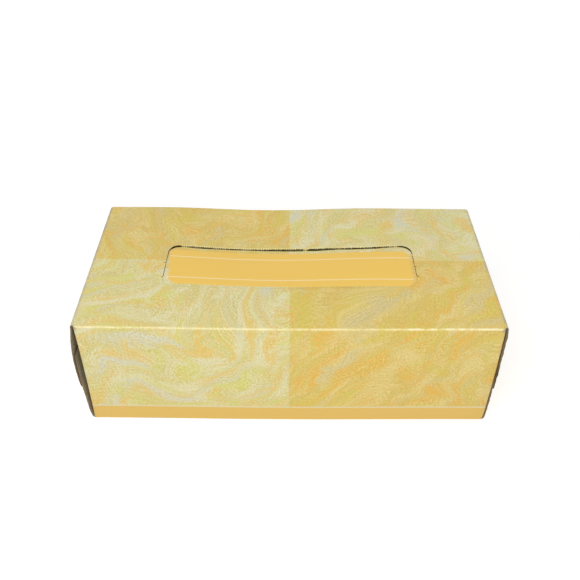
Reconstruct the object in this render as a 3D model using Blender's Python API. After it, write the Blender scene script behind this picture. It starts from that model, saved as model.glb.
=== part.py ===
"""A flat facial tissue box: one folded paperboard carton, its tear-open lid and the tissues inside.

The carton is modelled the way the board is folded. A straight row of edges is run up the back,
turned over the top, down the front and under the bottom, and ends in the glue tab. Each panel end
then runs on into its flap, and the flaps close over each other: dust flaps, bottom flap, top flap.
Sizes are in metres, Z is up, the front faces -Y and the origin is at the middle of the underside.
"""
import math

import bmesh
import bpy
from mathutils import Matrix, Vector

# The folded box, measured over the outside of the board
PANEL_LENGTH = 0.232
BOX_DEPTH = 0.118
BOX_HEIGHT = 0.0735
BOARD = 0.0005
LAYER_GAP = 0.0003
CREASE_RADIUS = 0.0009

# The end flaps and the glued seam
FLAP_INSET = 0.0008
MAJOR_FLAP_SHARE = 0.68
MAJOR_FLAP_TAPER = 0.0015
DUST_FLAP_SHARE = 0.36
DUST_FLAP_TAPER = 0.007
GLUE_TAB = 0.016
GLUE_TAB_TAPER = 0.009

# The perforated lid in the top panel
OPENING_LENGTH = 0.149
OPENING_DEPTH = 0.040
OPENING_FRONT_MARGIN = 0.0355
OPENING_CORNER = 0.0085
LID_GAP = 0.0003
LID_BACK_GAP = 0.0011
LID_DROP = 0.0005

# How far the handled board has left its true planes
SAG = 0.0035
SAG_CENTRE_SHARE = -0.055
SAG_REACH_SHARE = 0.38
SAG_NARROWING_SHARE = 0.55
SAG_PEAK_SHARE = 0.68
SAG_FRONT_SHARE = 0.08
SAG_BACK_SHARE = 0.64
PANEL_BOW = 0.0008
LEFT_BULGE = 0.0020
RIGHT_BULGE = 0.0004

# The folded tissues and the room that they leave in the box
STACK_END_ROOM = 0.009
STACK_SIDE_ROOM = 0.006
HEADROOM = 0.0130
STACK_CROWN = 0.0012
STACK_EDGE_RADIUS = 0.0030
BUNDLE_RELIEF = 0.0007
TURNED_LEAF = 0.0006
TURNED_LEAF_SHARE = 0.54
STACK_END_DRAW = 0.0010

# How finely the board and the tissues are divided
LENGTH_STEPS = 26
DEPTH_STEPS = 12
WALL_STEPS = 3
FLAP_STEPS = 5
CREASE_STEPS = 3
CORNER_STEPS = 8
LID_STEPS = 32
STACK_STEPS = 10
BUNDLES = 7
BUNDLE_STEPS = 4

# Working allowances for cutting and for finding edges
CUT_OVERRUN = 0.010
NEAR = 0.000001

# Places that follow from the sizes above
LAYER = BOARD + LAYER_GAP
TOP = BOX_HEIGHT
FRONT = -BOX_DEPTH / 2
BACK = BOX_DEPTH / 2
DUST_FACE = PANEL_LENGTH / 2
INNER_FLAP_FACE = DUST_FACE + LAYER
OUTER_FLAP_FACE = DUST_FACE + 2 * LAYER
SLEEVE_END = DUST_FACE - CREASE_RADIUS
OPENING_FRONT = FRONT + OPENING_FRONT_MARGIN
OPENING_BACK = OPENING_FRONT + OPENING_DEPTH
LID_FRONT = OPENING_FRONT + LID_GAP
LID_BACK = OPENING_BACK - LID_BACK_GAP
STACK_BASE = BOARD + LAYER_GAP
STACK_TOP = BOX_HEIGHT - BOARD - HEADROOM

QUARTER_TURN = math.pi / 2
HALF_TURN = math.pi
ALONG_LENGTH = Vector((1, 0, 0))

BOARD_COLOUR = (0.72, 0.60, 0.28, 1)
LID_COLOUR = (0.80, 0.53, 0.13, 1)
TISSUE_COLOUR = (0.86, 0.80, 0.50, 1)
BOARD_ROUGHNESS = 0.42
TISSUE_ROUGHNESS = 0.95


def clear_scene():
    """Start from an empty scene."""
    for item in list(bpy.data.objects):
        bpy.data.objects.remove(item, do_unlink=True)


def paint(thing, colour, roughness):
    """Give an object a material of its own."""
    material = bpy.data.materials.new(thing.name + "_finish")
    material.use_nodes = True
    shader = material.node_tree.nodes["Principled BSDF"]
    shader.inputs["Base Color"].default_value = colour
    shader.inputs["Roughness"].default_value = roughness
    shader.inputs["Metallic"].default_value = 0
    thing.data.materials.append(material)


def add_object(name, bm):
    """Turn a bmesh into a named object in the scene."""
    mesh = bpy.data.meshes.new(name)
    bm.to_mesh(mesh)
    bm.free()
    thing = bpy.data.objects.new(name, mesh)
    bpy.context.scene.collection.objects.link(thing)
    return thing


def add_thickness(thing, thickness):
    """Thicken a sheet inwards, away from its outer face."""
    wall = thing.modifiers.new("board", "SOLIDIFY")
    wall.thickness = thickness
    wall.offset = -1
    wall.use_even_offset = True
    wall.use_quality_normals = True


def add_cut(thing, cutter, operation):
    """Cut an object with a hidden guide solid."""
    cut = thing.modifiers.new(cutter.name, "BOOLEAN")
    cut.operation = operation
    cut.solver = "EXACT"
    cut.object = cutter
    cutter.hide_render = True
    cutter.display_type = "WIRE"


def run_on(bm, edges, move, steps):
    """Extend a row of edges in a straight line and return its new end."""
    for _ in range(steps):
        made = bmesh.ops.extrude_edge_only(bm, edges=edges)["geom"]
        points = [item for item in made if isinstance(item, bmesh.types.BMVert)]
        edges = [item for item in made if isinstance(item, bmesh.types.BMEdge)]
        bmesh.ops.translate(bm, verts=points, vec=Vector(move) / steps)
    return edges


def fold_on(bm, edges, centre, axis):
    """Turn a row of edges a quarter turn round a crease and return its new end."""
    points = list({point for edge in edges for point in edge.verts})
    made = bmesh.ops.spin(
        bm, geom=points + edges, cent=centre, axis=axis, dvec=(0, 0, 0),
        angle=QUARTER_TURN, steps=CREASE_STEPS, use_duplicate=False)
    return [item for item in made["geom_last"] if isinstance(item, bmesh.types.BMEdge)]


def panel_on(bm, edges, direction, length, steps):
    """Run a panel on, with a narrow strip at each side where its flap is cut back."""
    direction = Vector(direction)
    edges = run_on(bm, edges, direction * FLAP_INSET, 1)
    edges = run_on(bm, edges, direction * (length - 2 * FLAP_INSET), steps)
    return run_on(bm, edges, direction * FLAP_INSET, 1)


def open_edges(bm, belongs):
    """Find the free edges whose two ends both pass a test."""
    return [edge for edge in bm.edges
            if edge.is_boundary and all(belongs(point.co) for point in edge.verts)]


def taper_end(edges, axis, low, high, amount):
    """Draw in both corners of a flap's free end along one axis."""
    for point in {point for edge in edges for point in edge.verts}:
        share = (2 * point.co[axis] - low - high) / (high - low)
        point.co[axis] -= amount * share


def start_row(bm):
    """Lay the first row of edges along the foot of the back panel."""
    height = LAYER_GAP
    points = []
    for step in range(LENGTH_STEPS + 1):
        along = 2 * step / LENGTH_STEPS - 1
        points.append(bm.verts.new((along * SLEEVE_END, BACK, height)))
    return [bm.edges.new(pair) for pair in zip(points, points[1:])]


def fold_sleeve(bm):
    """Wrap the board round the box and end it in the glue tab."""
    radius = CREASE_RADIUS
    tab_face = BACK - LAYER
    edges = panel_on(bm, start_row(bm), (0, 0, 1), TOP - radius - LAYER_GAP, WALL_STEPS)
    edges = fold_on(bm, edges, (0, BACK - radius, TOP - radius), ALONG_LENGTH)
    edges = panel_on(bm, edges, (0, -1, 0), BOX_DEPTH - 2 * radius, DEPTH_STEPS)
    edges = fold_on(bm, edges, (0, FRONT + radius, TOP - radius), ALONG_LENGTH)
    edges = panel_on(bm, edges, (0, 0, -1), BOX_HEIGHT - 2 * radius, WALL_STEPS)
    edges = fold_on(bm, edges, (0, FRONT + radius, radius), ALONG_LENGTH)
    edges = panel_on(bm, edges, (0, 1, 0), tab_face - FRONT - 2 * radius, DEPTH_STEPS)
    edges = fold_on(bm, edges, (0, tab_face - radius, radius), ALONG_LENGTH)
    edges = run_on(bm, edges, (0, 0, GLUE_TAB - radius), 1)
    taper_end(edges, 0, -SLEEVE_END, SLEEVE_END, GLUE_TAB_TAPER)


def fold_major_flap(bm, side, from_top):
    """Close one end with a flap of the top or the bottom panel."""
    radius = CREASE_RADIUS
    level = TOP if from_top else 0
    face = OUTER_FLAP_FACE if from_top else INNER_FLAP_FACE
    down = -1 if from_top else 1
    back_limit = BACK if from_top else BACK - LAYER
    low = FRONT + radius + FLAP_INSET
    high = back_limit - radius - FLAP_INSET

    def on_panel_end(point):
        return (abs(point.x - side * SLEEVE_END) < NEAR and abs(point.z - level) < NEAR
                and low - NEAR < point.y < high + NEAR)

    edges = run_on(bm, open_edges(bm, on_panel_end), (side * (face - DUST_FACE), 0, 0), 1)
    centre = (side * (face - radius), 0, level + down * radius)
    edges = fold_on(bm, edges, centre, (0, -side * down, 0))
    length = BOX_HEIGHT * MAJOR_FLAP_SHARE - radius
    edges = run_on(bm, edges, (0, 0, down * length), FLAP_STEPS)
    taper_end(edges, 1, low, high, MAJOR_FLAP_TAPER)


def fold_dust_flap(bm, side, at_front):
    """Turn one side panel's short flap in behind the two large ones."""
    radius = CREASE_RADIUS
    wall = FRONT if at_front else BACK
    inward = 1 if at_front else -1
    low = (radius if at_front else LAYER_GAP) + FLAP_INSET
    high = TOP - radius - FLAP_INSET

    def on_panel_end(point):
        return (abs(point.x - side * SLEEVE_END) < NEAR and abs(point.y - wall) < NEAR
                and low - NEAR < point.z < high + NEAR)

    centre = (side * SLEEVE_END, wall + inward * radius, 0)
    edges = fold_on(bm, open_edges(bm, on_panel_end), centre, (0, 0, side * inward))
    length = BOX_DEPTH * DUST_FLAP_SHARE - radius
    edges = run_on(bm, edges, (0, inward * length, 0), 1)
    taper_end(edges, 2, low, high, DUST_FLAP_TAPER)


def sag_at(x, y):
    """How far the top panel has sunk at a place, out of its true plane."""
    across = (y - FRONT) / BOX_DEPTH
    reach = SAG_REACH_SHARE * (1 - SAG_NARROWING_SHARE * abs(across - SAG_PEAK_SHARE))
    along = (x / PANEL_LENGTH - SAG_CENTRE_SHARE) / reach
    if abs(along) >= 1:
        return 0
    if across < SAG_PEAK_SHARE:
        rise = math.sin(QUARTER_TURN * max(across, 0) / SAG_PEAK_SHARE) ** 2
        depth = SAG_FRONT_SHARE + (1 - SAG_FRONT_SHARE) * rise
    else:
        fall = (across - SAG_PEAK_SHARE) / (1 - SAG_PEAK_SHARE)
        depth = 1 - (1 - SAG_BACK_SHARE) * fall ** 2
    return SAG * depth * math.cos(QUARTER_TURN * along) ** 2


def shape_by_use(bm):
    """Sink the top, bow the long walls and push the end flaps out as handling has."""
    for point in bm.verts:
        x, y, z = point.co
        if abs(x) > DUST_FACE + NEAR:
            bulge = LEFT_BULGE if x < 0 else RIGHT_BULGE
            point.co.x += math.copysign(bulge, x) * math.sin(HALF_TURN * z / TOP)
        bow = PANEL_BOW * math.cos(QUARTER_TURN * min(abs(x) / DUST_FACE, 1)) ** 2
        point.co.y += bow * y / BACK
        point.co.z -= sag_at(x, y) * z / TOP


def face_outwards(bm, outside):
    """Point the sheet's faces away from the inside of the box."""
    bmesh.ops.recalc_face_normals(bm, faces=bm.faces)
    bm.faces.ensure_lookup_table()
    highest = max(bm.faces, key=lambda face: face.calc_center_median().dot(outside))
    if highest.normal.dot(outside) < 0:
        bmesh.ops.reverse_faces(bm, faces=bm.faces)


def rounded_prism(name, length, low_y, high_y, radius):
    """Make a tall guide solid with a round-cornered outline that stands through the top."""
    bm = bmesh.new()
    points = []
    corners = (
        (length / 2 - radius, high_y - radius, 0),
        (radius - length / 2, high_y - radius, 1),
        (radius - length / 2, low_y + radius, 2),
        (length / 2 - radius, low_y + radius, 3),
    )
    for x, y, turn in corners:
        for step in range(CORNER_STEPS + 1):
            angle = QUARTER_TURN * (turn + step / CORNER_STEPS)
            place = (x + radius * math.cos(angle), y + radius * math.sin(angle), TOP - CUT_OVERRUN)
            points.append(bm.verts.new(place))
    base = bm.faces.new(points)
    made = bmesh.ops.extrude_face_region(bm, geom=[base])["geom"]
    upper = [item for item in made if isinstance(item, bmesh.types.BMVert)]
    bmesh.ops.translate(bm, verts=upper, vec=(0, 0, 2 * CUT_OVERRUN))
    bmesh.ops.recalc_face_normals(bm, faces=bm.faces)
    return add_object(name, bm)


def build_carton():
    """Fold the whole board, thicken it and cut the opening in its top."""
    bm = bmesh.new()
    fold_sleeve(bm)
    for side in (-1, 1):
        for at_front in (True, False):
            fold_dust_flap(bm, side, at_front)
        for from_top in (False, True):
            fold_major_flap(bm, side, from_top)
    face_outwards(bm, Vector((0, 0, 1)))
    shape_by_use(bm)
    carton = add_object("carton", bm)
    add_thickness(carton, BOARD)
    cutter = rounded_prism(
        "opening_guide", OPENING_LENGTH, OPENING_FRONT, OPENING_BACK, OPENING_CORNER)
    add_cut(carton, cutter, "DIFFERENCE")
    paint(carton, BOARD_COLOUR, BOARD_ROUGHNESS)
    return carton


def build_lid():
    """Make the lid from the same sunken sheet, a little smaller than its opening."""
    bm = bmesh.new()
    reach = OPENING_LENGTH / 2 + CUT_OVERRUN
    low = OPENING_FRONT - CUT_OVERRUN
    high = OPENING_BACK + CUT_OVERRUN
    bmesh.ops.create_grid(bm, x_segments=LID_STEPS, y_segments=DEPTH_STEPS, size=1)
    for point in bm.verts:
        x = point.co.x * reach
        y = low + (point.co.y + 1) * (high - low) / 2
        parted = max(y - LID_FRONT, 0) / (LID_BACK - LID_FRONT)
        point.co = (x, y, TOP - sag_at(x, y) - LID_DROP * parted ** 2)
    face_outwards(bm, Vector((0, 0, 1)))
    lid = add_object("tear_open_lid", bm)
    add_thickness(lid, BOARD)
    outline = rounded_prism(
        "lid_guide", OPENING_LENGTH - 2 * LID_GAP, LID_FRONT, LID_BACK, OPENING_CORNER - LID_GAP)
    add_cut(lid, outline, "INTERSECT")
    paint(lid, LID_COLOUR, BOARD_ROUGHNESS)

    hinge = bpy.data.objects.new("lid_hinge_line", None)
    hinge.location = (0, LID_FRONT, TOP)
    bpy.context.scene.collection.objects.link(hinge)
    lid.parent = hinge
    lid.matrix_parent_inverse = Matrix.Translation(-hinge.location)
    return lid


def stack_profile():
    """Outline the stack across its depth: scalloped folded sides and a turned back top leaf."""
    half = (BOX_DEPTH - 2 * BOARD) / 2 - STACK_SIDE_ROOM
    height = STACK_TOP - STACK_CROWN - TURNED_LEAF - STACK_BASE
    bundle = height / BUNDLES
    side = []
    for step in range(BUNDLES * BUNDLE_STEPS + 1):
        rise = step / BUNDLE_STEPS
        swell = abs(math.sin(HALF_TURN * rise))
        near_end = min(rise, BUNDLES - rise) * bundle
        inset = STACK_EDGE_RADIUS - math.sqrt(
            max(STACK_EDGE_RADIUS ** 2 - max(STACK_EDGE_RADIUS - near_end, 0) ** 2, 0))
        side.append((half - BUNDLE_RELIEF * (1 - swell) - inset, STACK_BASE + rise * bundle))
    leaf_end = half * (2 * TURNED_LEAF_SHARE - 1)
    top_front = -side[-1][0]
    top_level = side[-1][1]
    leaf_level = top_level + TURNED_LEAF
    leaf_edge = TURNED_LEAF / 2
    turned = [
        (leaf_end + leaf_edge, top_level),
        (leaf_end + TURNED_LEAF, top_level + leaf_edge),
        (leaf_end + leaf_edge, leaf_level),
        (top_front + leaf_edge, leaf_level),
    ]
    left = [(-y, z) for y, z in reversed(side)]
    return side + turned + left


def build_tissues():
    """Stack the folded tissues as one soft block with crowned top and softened ends."""
    bm = bmesh.new()
    half = DUST_FACE - BOARD - STACK_END_ROOM
    rows = []
    outline = stack_profile()
    middle = (STACK_BASE + STACK_TOP) / 2
    for step in range(STACK_STEPS + 1):
        along = 2 * step / STACK_STEPS - 1
        crown = STACK_CROWN * (1 - along ** 2)
        draw = STACK_END_DRAW * along ** 4
        row = []
        for y, z in outline:
            lift = crown * max(z - middle, 0) / (STACK_TOP - middle)
            centre_lift = lift * (1 - (y / BACK) ** 2)
            row.append(bm.verts.new((along * half, y * (1 - draw / BACK), z + centre_lift)))
        rows.append(row)
    for row, beyond in zip(rows, rows[1:]):
        for index in range(len(outline)):
            following = (index + 1) % len(outline)
            bm.faces.new((row[index], row[following], beyond[following], beyond[index]))
    bm.faces.new(rows[0])
    bm.faces.new(list(reversed(rows[-1])))
    bmesh.ops.recalc_face_normals(bm, faces=bm.faces)
    stack = add_object("tissue_stack", bm)
    paint(stack, TISSUE_COLOUR, TISSUE_ROUGHNESS)
    return stack


def build():
    """Build the whole tissue box."""
    clear_scene()
    build_carton()
    build_lid()
    build_tissues()


build()
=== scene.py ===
# %% [markdown]
# # A folded tissue box
#
# This lesson dresses a plain CAD tissue box so that it looks like a real one that has been
# handled. The real box starts as one flat printed board. A die cuts it out, rollers press the
# creases, and a machine folds and glues it round a stack of tissues. The lesson follows the same
# order: draw the flat blank, cut it, fold it, and only then give it thickness and print.
#
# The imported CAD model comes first. It is the frame that every piece below is built on.

# %% Load the frame
import math

import bpy
import numpy as np
from mathutils import Euler, Matrix, Vector
from mathutils.geometry import delaunay_2d_cdt


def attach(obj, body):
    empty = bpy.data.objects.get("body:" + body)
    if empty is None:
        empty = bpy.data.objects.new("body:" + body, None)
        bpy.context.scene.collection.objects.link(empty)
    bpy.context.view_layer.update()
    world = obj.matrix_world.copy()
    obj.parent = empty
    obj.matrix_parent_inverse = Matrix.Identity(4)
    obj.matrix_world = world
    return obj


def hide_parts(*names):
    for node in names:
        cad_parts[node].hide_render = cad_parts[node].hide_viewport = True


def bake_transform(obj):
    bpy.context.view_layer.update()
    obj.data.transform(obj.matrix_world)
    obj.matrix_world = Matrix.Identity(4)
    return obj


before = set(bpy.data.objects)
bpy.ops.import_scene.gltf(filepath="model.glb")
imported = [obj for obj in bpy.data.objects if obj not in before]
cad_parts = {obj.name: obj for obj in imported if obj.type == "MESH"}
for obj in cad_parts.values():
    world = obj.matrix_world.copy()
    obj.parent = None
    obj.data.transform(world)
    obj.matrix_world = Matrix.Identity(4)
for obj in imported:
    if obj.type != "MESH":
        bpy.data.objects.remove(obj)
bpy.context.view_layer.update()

# %% [markdown]
# ## The sizes
#
# All lengths are in metres. They are the sizes of the CAD source, measured over the outside of
# the board, so the looks sit exactly where the solids are.

# %% Name the sizes
PANEL_LENGTH = 0.232
BOX_DEPTH = 0.118
TOP = 0.0735
BOARD = 0.0005
LAYER_GAP = 0.0003
CREASE_RADIUS = 0.0009
LAYER = BOARD + LAYER_GAP
FRONT, BACK = -BOX_DEPTH / 2, BOX_DEPTH / 2
DUST_FACE = PANEL_LENGTH / 2
SLEEVE_END = DUST_FACE - CREASE_RADIUS
MM, TO_MM = 0.001, 1000
print("box:", PANEL_LENGTH, "x", BOX_DEPTH, "x", TOP, "m")

# %% [markdown]
# ## The camera
#
# The photograph was taken from in front and well above. A camera fitted to the six corners of
# the box gives its place, its lens and three small angles.

# %% Place the camera
CAMERA_PLACE = (-0.0024, -0.3429, 0.3336)
CAMERA_PITCH, CAMERA_YAW, CAMERA_ROLL = 39.45, -0.47, 0.66
CAMERA_LENS, SENSOR_WIDTH = 44.67, 36


def add_object(name, data):
    """Put new data into the scene as an object."""
    made = bpy.data.objects.new(name, data)
    bpy.context.scene.collection.objects.link(made)
    return made


camera_data = bpy.data.cameras.new("camera")
camera_data.sensor_width, camera_data.lens = SENSOR_WIDTH, CAMERA_LENS
camera_data.clip_start, camera_data.clip_end = 0.01, 50
camera = add_object("camera", camera_data)
look = Euler((math.radians(90 - CAMERA_PITCH), 0, math.radians(CAMERA_YAW))).to_matrix()
turn = Matrix.Rotation(math.radians(CAMERA_ROLL), 3, "Z")
camera.matrix_world = Matrix.Translation(CAMERA_PLACE) @ (look @ turn).to_4x4()
bpy.context.scene.camera = camera
print("camera at", CAMERA_PLACE, "lens", camera_data.lens)

# %% [markdown]
# ## Helpers for nodes
#
# Every finish below is a small net of nodes. Wired one by one, a finish would take pages, so a
# few helpers read like arithmetic instead. A socket knows the tree it belongs to, so most of
# them find the tree from their own values.

# %% Wire nodes in one line each
def srgb(red, green, blue):
    """Turn a colour read off a screen, 0 to 255, into the linear colour that shaders use."""
    def linear(value):
        value /= 255
        return value / 12.92 if value <= 0.04045 else ((value + 0.055) / 1.055) ** 2.4
    return (linear(red), linear(green), linear(blue), 1)


def connect(sockets, values):
    """Link or set inputs, given by name or by number."""
    for name, value in values.items():
        if isinstance(value, bpy.types.NodeSocket):
            value.id_data.links.new(value, sockets[name])
        else:
            sockets[name].default_value = value


def add_node(tree, kind, inputs=None, **settings):
    """Add a node, set its options and fill its inputs."""
    node = tree.nodes.new(kind)
    for name, value in settings.items():
        setattr(node, name, value)
    connect(node.inputs, inputs or {})
    return node


def add_step(tree, kind, inputs=None, **settings):
    """Add a node and return its first output."""
    return add_node(tree, kind, inputs, **settings).outputs[0]


def tree_of(values):
    """The tree of the first socket among some values."""
    return next(value.id_data for value in values if isinstance(value, bpy.types.NodeSocket))


def calc(operation, *values, clamp=False):
    """One arithmetic step on numbers or sockets."""
    return add_step(tree_of(values), "ShaderNodeMath", dict(enumerate(values)),
                    operation=operation, use_clamp=clamp)


def plus(first, second):
    """A sum."""
    return calc("ADD", first, second)


def minus(first, second):
    """A difference."""
    return calc("SUBTRACT", first, second)


def times(first, second):
    """A product."""
    return calc("MULTIPLY", first, second)


def combine(x=0.0, y=0.0, z=0.0):
    """Three numbers as one vector."""
    return add_step(tree_of((x, y, z)), "ShaderNodeCombineXYZ", {0: x, 1: y, 2: z})


def vector_calc(operation, *values):
    """One step on vectors."""
    names = (0, "Scale") if operation == "SCALE" else range(len(values))
    node = add_node(tree_of(values), "ShaderNodeVectorMath", dict(zip(names, values)),
                    operation=operation)
    return node.outputs["Value" if operation in ("DOT_PRODUCT", "LENGTH") else "Vector"]


def ramp(value, start, end, low=0.0, high=1.0):
    """A smooth step of a value from low to high between start and end."""
    return add_step(value.id_data, "ShaderNodeMapRange",
                    {"Value": value, "From Min": start, "From Max": end,
                     "To Min": low, "To Max": high}, interpolation_type="SMOOTHSTEP")


def blend_colour(share, first, second, mode="MIX"):
    """Mix two colours by a share. A colour mix uses the inputs 0, 6 and 7 and the output 2."""
    return add_node(tree_of((share, first, second)), "ShaderNodeMix",
                    {0: share, 6: first, 7: second}, data_type="RGBA", blend_type=mode).outputs[2]


def noise(vector, scale, detail=2.0, rough=0.5, out="Fac"):
    """Cloudy noise at a scale, as a value or as a colour."""
    return add_node(vector.id_data, "ShaderNodeTexNoise",
                    {"Vector": vector, "Scale": scale, "Detail": detail,
                     "Roughness": rough}).outputs[out]


COLOUR, VALUE, PLACE = "NodeSocketColor", "NodeSocketFloat", "NodeSocketVector"
INTEGER, MATERIAL, GEOMETRY = "NodeSocketInt", "NodeSocketMaterial", "NodeSocketGeometry"


def new_group(name, inputs, outputs, kind="ShaderNodeTree"):
    """Start a node group. Returns it with what it is given and what it has to fill."""
    group = bpy.data.node_groups.new(name, kind)
    for label, socket_kind, value in inputs:
        socket = group.interface.new_socket(label, in_out="INPUT", socket_type=socket_kind)
        if value is not None:
            socket.default_value = value
    for label, socket_kind in outputs:
        group.interface.new_socket(label, in_out="OUTPUT", socket_type=socket_kind)
    return (group, add_node(group, "NodeGroupInput").outputs,
            add_node(group, "NodeGroupOutput").inputs)


print("node helpers ready")

# %% [markdown]
# ## Floor and light
#
# The box stands on a white studio floor under soft, even light. A bright sky gives the even
# part, and two soft panels give the direction. They stand near the camera, so their light falls
# off towards the back of the box. The floor is white by its own colour, and what the camera sees
# of it is lifted a little more, so that it is pure white and still shows the soft shadow of the
# box.

# %% Lay the floor and light the scene
SKY_LEVEL = 0.53
KEY_POWER, KEY_PLACE, KEY_SIZE = 3.5, (-0.25, -0.58, 0.72), 0.7
FILL_POWER, FILL_PLACE, FILL_SIZE = 0.42, (0.12, -0.36, 0.40), 0.3
FLOOR_HALF = 6.0
FLOOR_COLOUR = (0.75, 0.75, 0.75, 1)
LIFT_NEAR, LIFT_FAR = 0.46, 0.72
LIFT_START, LIFT_END = 0.22, 0.60


def seen_share(tree):
    """One for the camera and for what mirrors or clear things show, zero for other light."""
    rays = add_node(tree, "ShaderNodeLightPath").outputs
    return calc("MAXIMUM", rays["Is Camera Ray"],
                calc("MAXIMUM", rays["Is Glossy Ray"], rays["Is Transmission Ray"]))


def add_panel(name, power, place, size):
    """A square soft panel light that faces the box."""
    data = bpy.data.lights.new(name, "AREA")
    data.energy, data.size = power, size
    lamp = add_object(name, data)
    lamp.location = place
    lamp.rotation_euler = (-Vector(place)).to_track_quat("-Z", "Y").to_euler()


floor_mesh = bpy.data.meshes.new("floor")
floor_mesh.from_pydata([(x * FLOOR_HALF, y * FLOOR_HALF, 0)
                        for x, y in ((-1, -1), (1, -1), (1, 1), (-1, 1))], [], [(0, 1, 2, 3)])
floor = add_object("floor", floor_mesh)

floor_paint = bpy.data.materials.new("studio_floor")
floor_paint.use_nodes = True
tree = floor_paint.node_tree
tree.nodes.clear()
white = add_step(tree, "ShaderNodeBsdfDiffuse", {"Color": FLOOR_COLOUR})
away = vector_calc("LENGTH", add_node(tree, "ShaderNodeTexCoord").outputs["Object"])
amount = ramp(away, LIFT_START, LIFT_END, LIFT_NEAR, LIFT_FAR)
lift = add_step(tree, "ShaderNodeEmission", {"Strength": times(seen_share(tree), amount)})
both = add_step(tree, "ShaderNodeAddShader", {0: white, 1: lift})
add_node(tree, "ShaderNodeOutputMaterial", {"Surface": both})
floor_mesh.materials.append(floor_paint)

world = bpy.data.worlds.new("studio")
bpy.context.scene.world = world
world.use_nodes = True
tree = world.node_tree
tree.nodes.clear()
level = plus(SKY_LEVEL, times(seen_share(tree), 1 - SKY_LEVEL))
sky = add_step(tree, "ShaderNodeBackground", {"Color": (1, 1, 1, 1), "Strength": level})
add_node(tree, "ShaderNodeOutputWorld", {"Surface": sky})

add_panel("key_panel", KEY_POWER, KEY_PLACE, KEY_SIZE)
add_panel("fill_panel", FILL_POWER, FILL_PLACE, FILL_SIZE)
bpy.context.scene.view_settings.view_transform = "Standard"
print("floor, sky and lamps placed")

# %% [markdown]
# ## How the flat board folds
#
# A carton can be modelled as six plates, but then its print breaks at every edge and its flaps
# never quite meet. Here one rule carries every point of the flat blank to its place on the
# folded box. `u` runs along the box and `v` runs round it: up the back, over the top, down the
# front, under the bottom and up the glue tab. Each fold is a quarter circle, so nothing
# stretches, and the print can keep using `u` and `v`.

# %% Write the folding rule
GLUE_TAB = 0.016
ARC = CREASE_RADIUS * math.pi / 2
BACK_WALL, TOP_PANEL, FRONT_WALL, BASE_PANEL = range(4)
RUNS = (TOP - CREASE_RADIUS - LAYER_GAP, BOX_DEPTH - 2 * CREASE_RADIUS,
        TOP - 2 * CREASE_RADIUS, BOX_DEPTH - LAYER - 2 * CREASE_RADIUS,
        GLUE_TAB - CREASE_RADIUS)
RUN_START = [0.0]
for run in RUNS[:-1]:
    RUN_START.append(RUN_START[-1] + run + ARC)
BLANK_END = RUN_START[4] + RUNS[4]
CREASES = [start + run + ARC / 2 for start, run in zip(RUN_START[:4], RUNS)]
V_OF_BACK = RUN_START[TOP_PANEL] - CREASE_RADIUS      # on the top, v = V_OF_BACK + BACK - y
FLAP_LEAD = np.array((0.0, 2 * LAYER, 0.0, LAYER))    # how far each panel's end flap stands off


def round_the_box(v):
    """Where the sleeve passes at v: y, z and the outward direction."""
    y = np.full_like(v, BACK)
    z = np.full_like(v, LAYER_GAP)
    angle = np.zeros_like(v)
    for index, run in enumerate(RUNS):
        start = index * math.pi / 2
        along = np.clip(v - RUN_START[index], 0, run)
        y = y - math.sin(start) * along
        z = z + math.cos(start) * along
        if index < 4:
            bend = np.clip((v - RUN_START[index] - run) / CREASE_RADIUS, 0, math.pi / 2)
            y = y + CREASE_RADIUS * (np.cos(start + bend) - math.cos(start))
            z = z + CREASE_RADIUS * (np.sin(start + bend) - math.sin(start))
            angle = angle + bend
    return y, z, np.cos(angle), np.sin(angle)


def panel_at(v):
    """Which panel a flap at v belongs to."""
    return np.clip(np.searchsorted(CREASES, v), 0, 3)


def fold(u, v, depth):
    """Fold flat points into the box. The depth goes into the board from its printed face."""
    side = np.sign(u)
    beyond = np.maximum(np.abs(u) - SLEEVE_END, 0)
    panel = panel_at(v)
    lead = FLAP_LEAD[panel]
    turn = np.clip((beyond - lead) / CREASE_RADIUS, 0, math.pi / 2)
    out = np.minimum(beyond, lead) + CREASE_RADIUS * np.sin(turn)
    drop = CREASE_RADIUS * (1 - np.cos(turn)) + np.maximum(beyond - lead - ARC, 0)
    y, z, out_y, out_z = round_the_box(v)
    x = np.where(beyond > 0, side * (SLEEVE_END + out), u) - depth * side * np.sin(turn)
    sink = drop + depth * np.cos(turn)
    return x, y - sink * out_y, z - sink * out_z, beyond, panel


print("the blank is", round(BLANK_END / MM, 1), "mm round the box")

# %% [markdown]
# ## What handling has done
#
# A used box has no flat panel. The top has sunk behind its middle, where hands press it, the
# long walls bow out a little, and the end flaps belly out over their glue, at the left end most
# of all near the top. These are the smooth rules of the CAD, plus what only the eye needs: a
# faint waviness that makes the satin print catch the light unevenly, and the right end's outer
# flap, whose front edge has been torn at and stands off in a ragged line.

# %% Shape the folded board by use
SAG, SAG_CENTRE, SAG_REACH, SAG_NARROWING = 0.0035, -0.055, 0.38, 0.55
SAG_PEAK, SAG_FRONT_SHARE, SAG_BACK_SHARE = 0.68, 0.08, 0.64
PANEL_BOW = 0.0008
BELLY_HEIGHTS = (0.0, 0.006, 0.014, 0.022, 0.030, 0.038, 0.046, 0.054, 0.062, 0.070, 0.0735)
LEFT_BELLY = (0.0004, 0.0014, 0.0018, 0.0023, 0.0030, 0.0032, 0.0032, 0.0027, 0.0018, 0.0004, 0.0)
RIGHT_BELLY = (0.0005, 0.0009, 0.0012, 0.0013, 0.0012, 0.0011, 0.0010, 0.0009, 0.0007, 0.0003,
               0.0001)
WALL_SHIFT_LEFT, WALL_SHIFT_RIGHT = 0.0005, 0.0006
WALL_SHIFT_START, WALL_SHIFT_REACH = 0.070, 0.045
FLARE, FLARE_REACH, FLARE_FADE = 0.0009, 0.0025, 0.006
WAVE, WAVE_FADE = 0.00010, 0.02


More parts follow.
